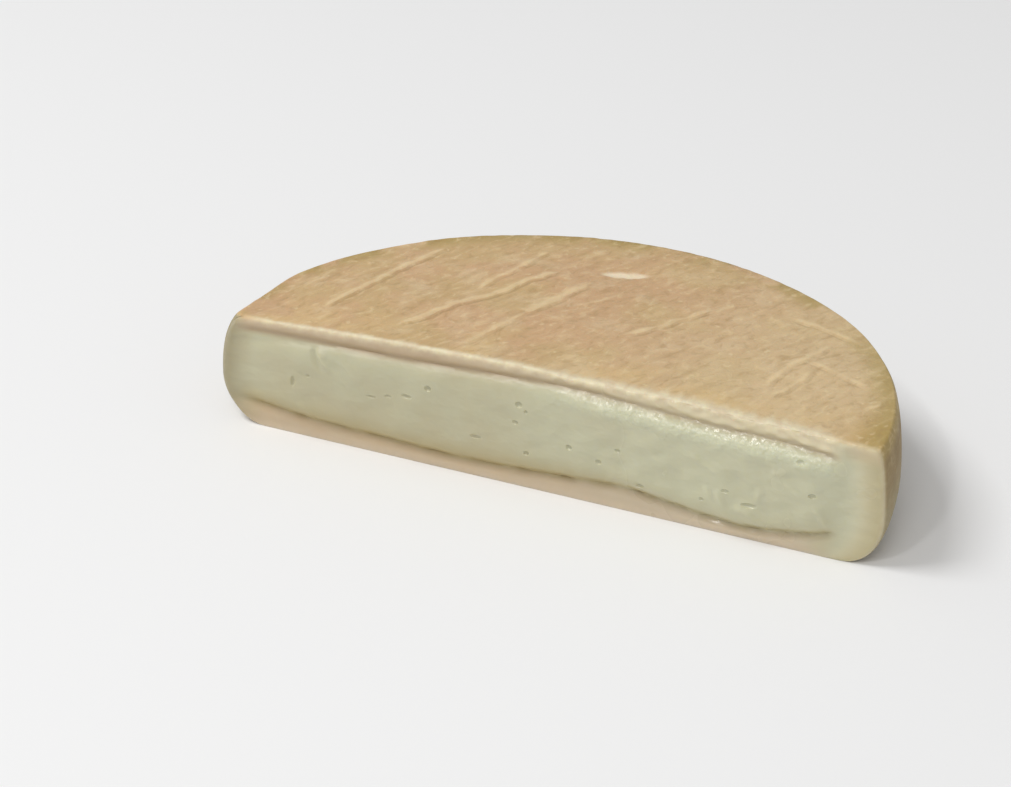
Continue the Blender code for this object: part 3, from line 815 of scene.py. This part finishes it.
def paste_colour(nodes):
    """Greenish ivory, yellower and browner where the rind has ripened it and with painted shade low on the
    band, between the cut bands of rind; painted shade in the groove, the crease and the left end, and a
    painted highlight on the shoulder.
    """
    tint = nodes.mixed(nodes.patches("green"), shade("yellow paste"), shade("green paste"))
    tint = nodes.tinted(tint, "right paste", nodes.stored("paste_right"))
    # Ripened colour with painted shade on the band's lower part
    tint = nodes.tinted(tint, "ripe and shaded paste", nodes.stored("ripe"))
    # The rind's olive with painted shade at the rounded left end
    tint = nodes.tinted(tint, "left end", nodes.stored("left_end_olive_and_shade"))
    tint = right_end_colour(nodes, tint)
    cut_rind = nodes.mixed(nodes.noise(*MOTTLES["cut rind"]), shade("pink cut rind"), shade("tan cut rind"))
    cut_rind = nodes.tinted(cut_rind, "right cut rind", nodes.stored("paste_right"))
    tint = nodes.mixed(nodes.stored("cut_rind"), tint, cut_rind)
    tint = nodes.tinted(tint, "rind end", nodes.stored("rind_end"))
    # Painted highlight on the shoulder under the groove
    tint = nodes.tinted(tint, "shoulder", nodes.stored("shoulder"))
    # Painted shade in the groove, over the cut rind's own colour
    tint = nodes.tinted(tint, "groove", nodes.stored("groove"))
    strip = nodes.mixed(nodes.noise(*MOTTLES["strip"]), shade("brown strip"), shade("grey strip"))
    strip = nodes.tinted(strip, "right strip", nodes.stored("paste_right"))
    tint = nodes.mixed(nodes.stored("strip"), tint, strip)
    tint = nodes.tinted(tint, "foot", nodes.stored("foot"))
    # Painted shade in the crease
    return nodes.tinted(tint, "crease", nodes.stored("crease"))


def cheese_colour(nodes, streaks, wrinkles):
    """The rind's and the paste's colours, with the pale edge where the knife cut the rind."""
    tint = nodes.mixed(nodes.stored("on_cut"), rind_colour(nodes, streaks, wrinkles), paste_colour(nodes))
    edge = nodes.mixed(nodes.patches("edge"), shade("dull edge"), shade("bright edge"))
    return nodes.mixed(nodes.times(nodes.stored("edge"), EDGE_COVER), tint, edge)


def finished(nodes, tint, roughness, normal, scatter):
    """The material, with its shader's inputs filled."""
    for name, value in {"Base Color": tint, "Roughness": roughness, "Normal": normal, **scatter}.items():
        nodes.put(value, nodes.shader.inputs[name])
    return nodes.material


def rind_material():
    nodes = Nodes("rind")
    streaks, wrinkles = cloth_relief(nodes, *STREAKS), cloth_relief(nodes, *WRINKLES)
    tint = cheese_colour(nodes, streaks, wrinkles)
    roughness = nodes.scaled(nodes.noise(*MOTTLES["rind gloss"]), *RIND_ROUGHNESS)
    streaked = nodes.bumped(streaks, STREAK_HEIGHT)
    wrinkled = nodes.bumped(wrinkles, WRINKLE_HEIGHT, streaked)
    grain = nodes.bumped(nodes.noise(*MOTTLES["rind grain"]), RIND_GRAIN_HEIGHT, wrinkled)
    return finished(nodes, tint, roughness, grain, RIND_SCATTER)


def paste_material():
    nodes = Nodes("paste")
    tint = cheese_colour(nodes, cloth_relief(nodes, *STREAKS), cloth_relief(nodes, *WRINKLES))
    dry = nodes.scaled(nodes.noise(*MOTTLES["dry"]), *DRY_ROUGHNESS)
    wet = nodes.times(nodes.stored("paste_right"), nodes.scaled(nodes.noise(*MOTTLES["wet"]), *WETNESS))
    drag = nodes.bumped(nodes.noise(*MOTTLES["drag"], stretch=DRAG_STRETCH), DRAG_HEIGHT)
    ragged = nodes.times(nodes.stored("edge"), EDGE_RAGGEDNESS)
    ragged = nodes.math("MAXIMUM", nodes.stored("shoulder"), ragged)
    lumps = nodes.bumped(nodes.times(ragged, nodes.noise(*MOTTLES["lumps"])), LUMP_HEIGHT, drag)
    grain = nodes.bumped(nodes.noise(*MOTTLES["paste grain"]), PASTE_GRAIN_HEIGHT, lumps)
    return finished(nodes, tint, nodes.math("SUBTRACT", dry, wet), grain, PASTE_SCATTER)


def make_cheese(low, high):
    """The half wheel in the CAD node's box, whose lowest and highest corners are given."""
    mesh = divided_box(GRID_CELLS)
    points = half_wheel_points(get_points(mesh))
    shift = Vector(((low.x + high.x) / 2 - (points[:, 0].min() + points[:, 0].max()) / 2,
                    high.y - points[:, 1].max(), low.z))
    set_points(mesh, np.clip(points + np.array(shift), np.array(low), np.array(high)))
    close_underside(mesh)
    rind, paste = rind_material(), paste_material()
    mesh.materials.append(rind)
    mesh.materials.append(paste)
    cheese = bpy.data.objects.new("cheese", mesh)
    bpy.context.scene.collection.objects.link(cheese)
    cut_eyes(cheese, shift, paste)
    cheese.data.set_sharp_from_angle(angle=SHARP_ANGLE)
    paint_places(cheese.data, shift)
    return cheese, shift


def make_floor():
    bpy.ops.mesh.primitive_plane_add(size=FLOOR_SIZE)
    floor = bpy.context.object
    floor.name = "floor"
    material = bpy.data.materials.new("floor")
    material.use_nodes = True
    shader = material.node_tree.nodes["Principled BSDF"]
    shader.inputs["Base Color"].default_value = (FLOOR_GREY, FLOOR_GREY, FLOOR_GREY, 1)
    shader.inputs["Roughness"].default_value = FLOOR_ROUGHNESS
    floor.data.materials.append(material)


def make_light(name, place, size, power):
    light = bpy.data.lights.new(name, "AREA")
    light.size = size
    light.energy = power
    lamp = bpy.data.objects.new(name, light)
    lamp.location = place
    lamp.rotation_mode = "QUATERNION"
    lamp.rotation_quaternion = (-Vector(place)).to_track_quat("-Z", "Y")
    bpy.context.scene.collection.objects.link(lamp)


def make_lights():
    for light in LIGHTS:
        make_light(*light)
    world = bpy.data.worlds.new("studio")
    world.use_nodes = True
    background = world.node_tree.nodes["Background"]
    background.inputs["Color"].default_value = (1, 1, 1, 1)
    background.inputs["Strength"].default_value = SKY_STRENGTH
    bpy.context.scene.world = world


def make_camera(shift):
    data = bpy.data.cameras.new("camera")
    data.lens = CAMERA_LENS
    data.sensor_width = CAMERA_SENSOR
    camera = bpy.data.objects.new("camera", data)
    turned = Matrix.Rotation(CAMERA_AZIMUTH, 4, "Z")
    turned = turned @ Matrix.Rotation(math.pi / 2 - CAMERA_ELEVATION, 4, "X")
    turned = turned @ Matrix.Rotation(CAMERA_ROLL, 4, "Z")
    camera.matrix_world = Matrix.Translation(Vector(CAMERA_PLACE) + shift) @ turned
    bpy.context.scene.collection.objects.link(camera)
    bpy.context.scene.camera = camera


for leftover in list(bpy.data.objects):
    bpy.data.objects.remove(leftover)
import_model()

cheese, shift = make_cheese(*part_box("half_wheel"))
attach(cheese, "root")
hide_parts("half_wheel")
make_floor()
make_lights()
make_camera(shift)
bpy.context.scene.view_settings.view_transform = "Standard"
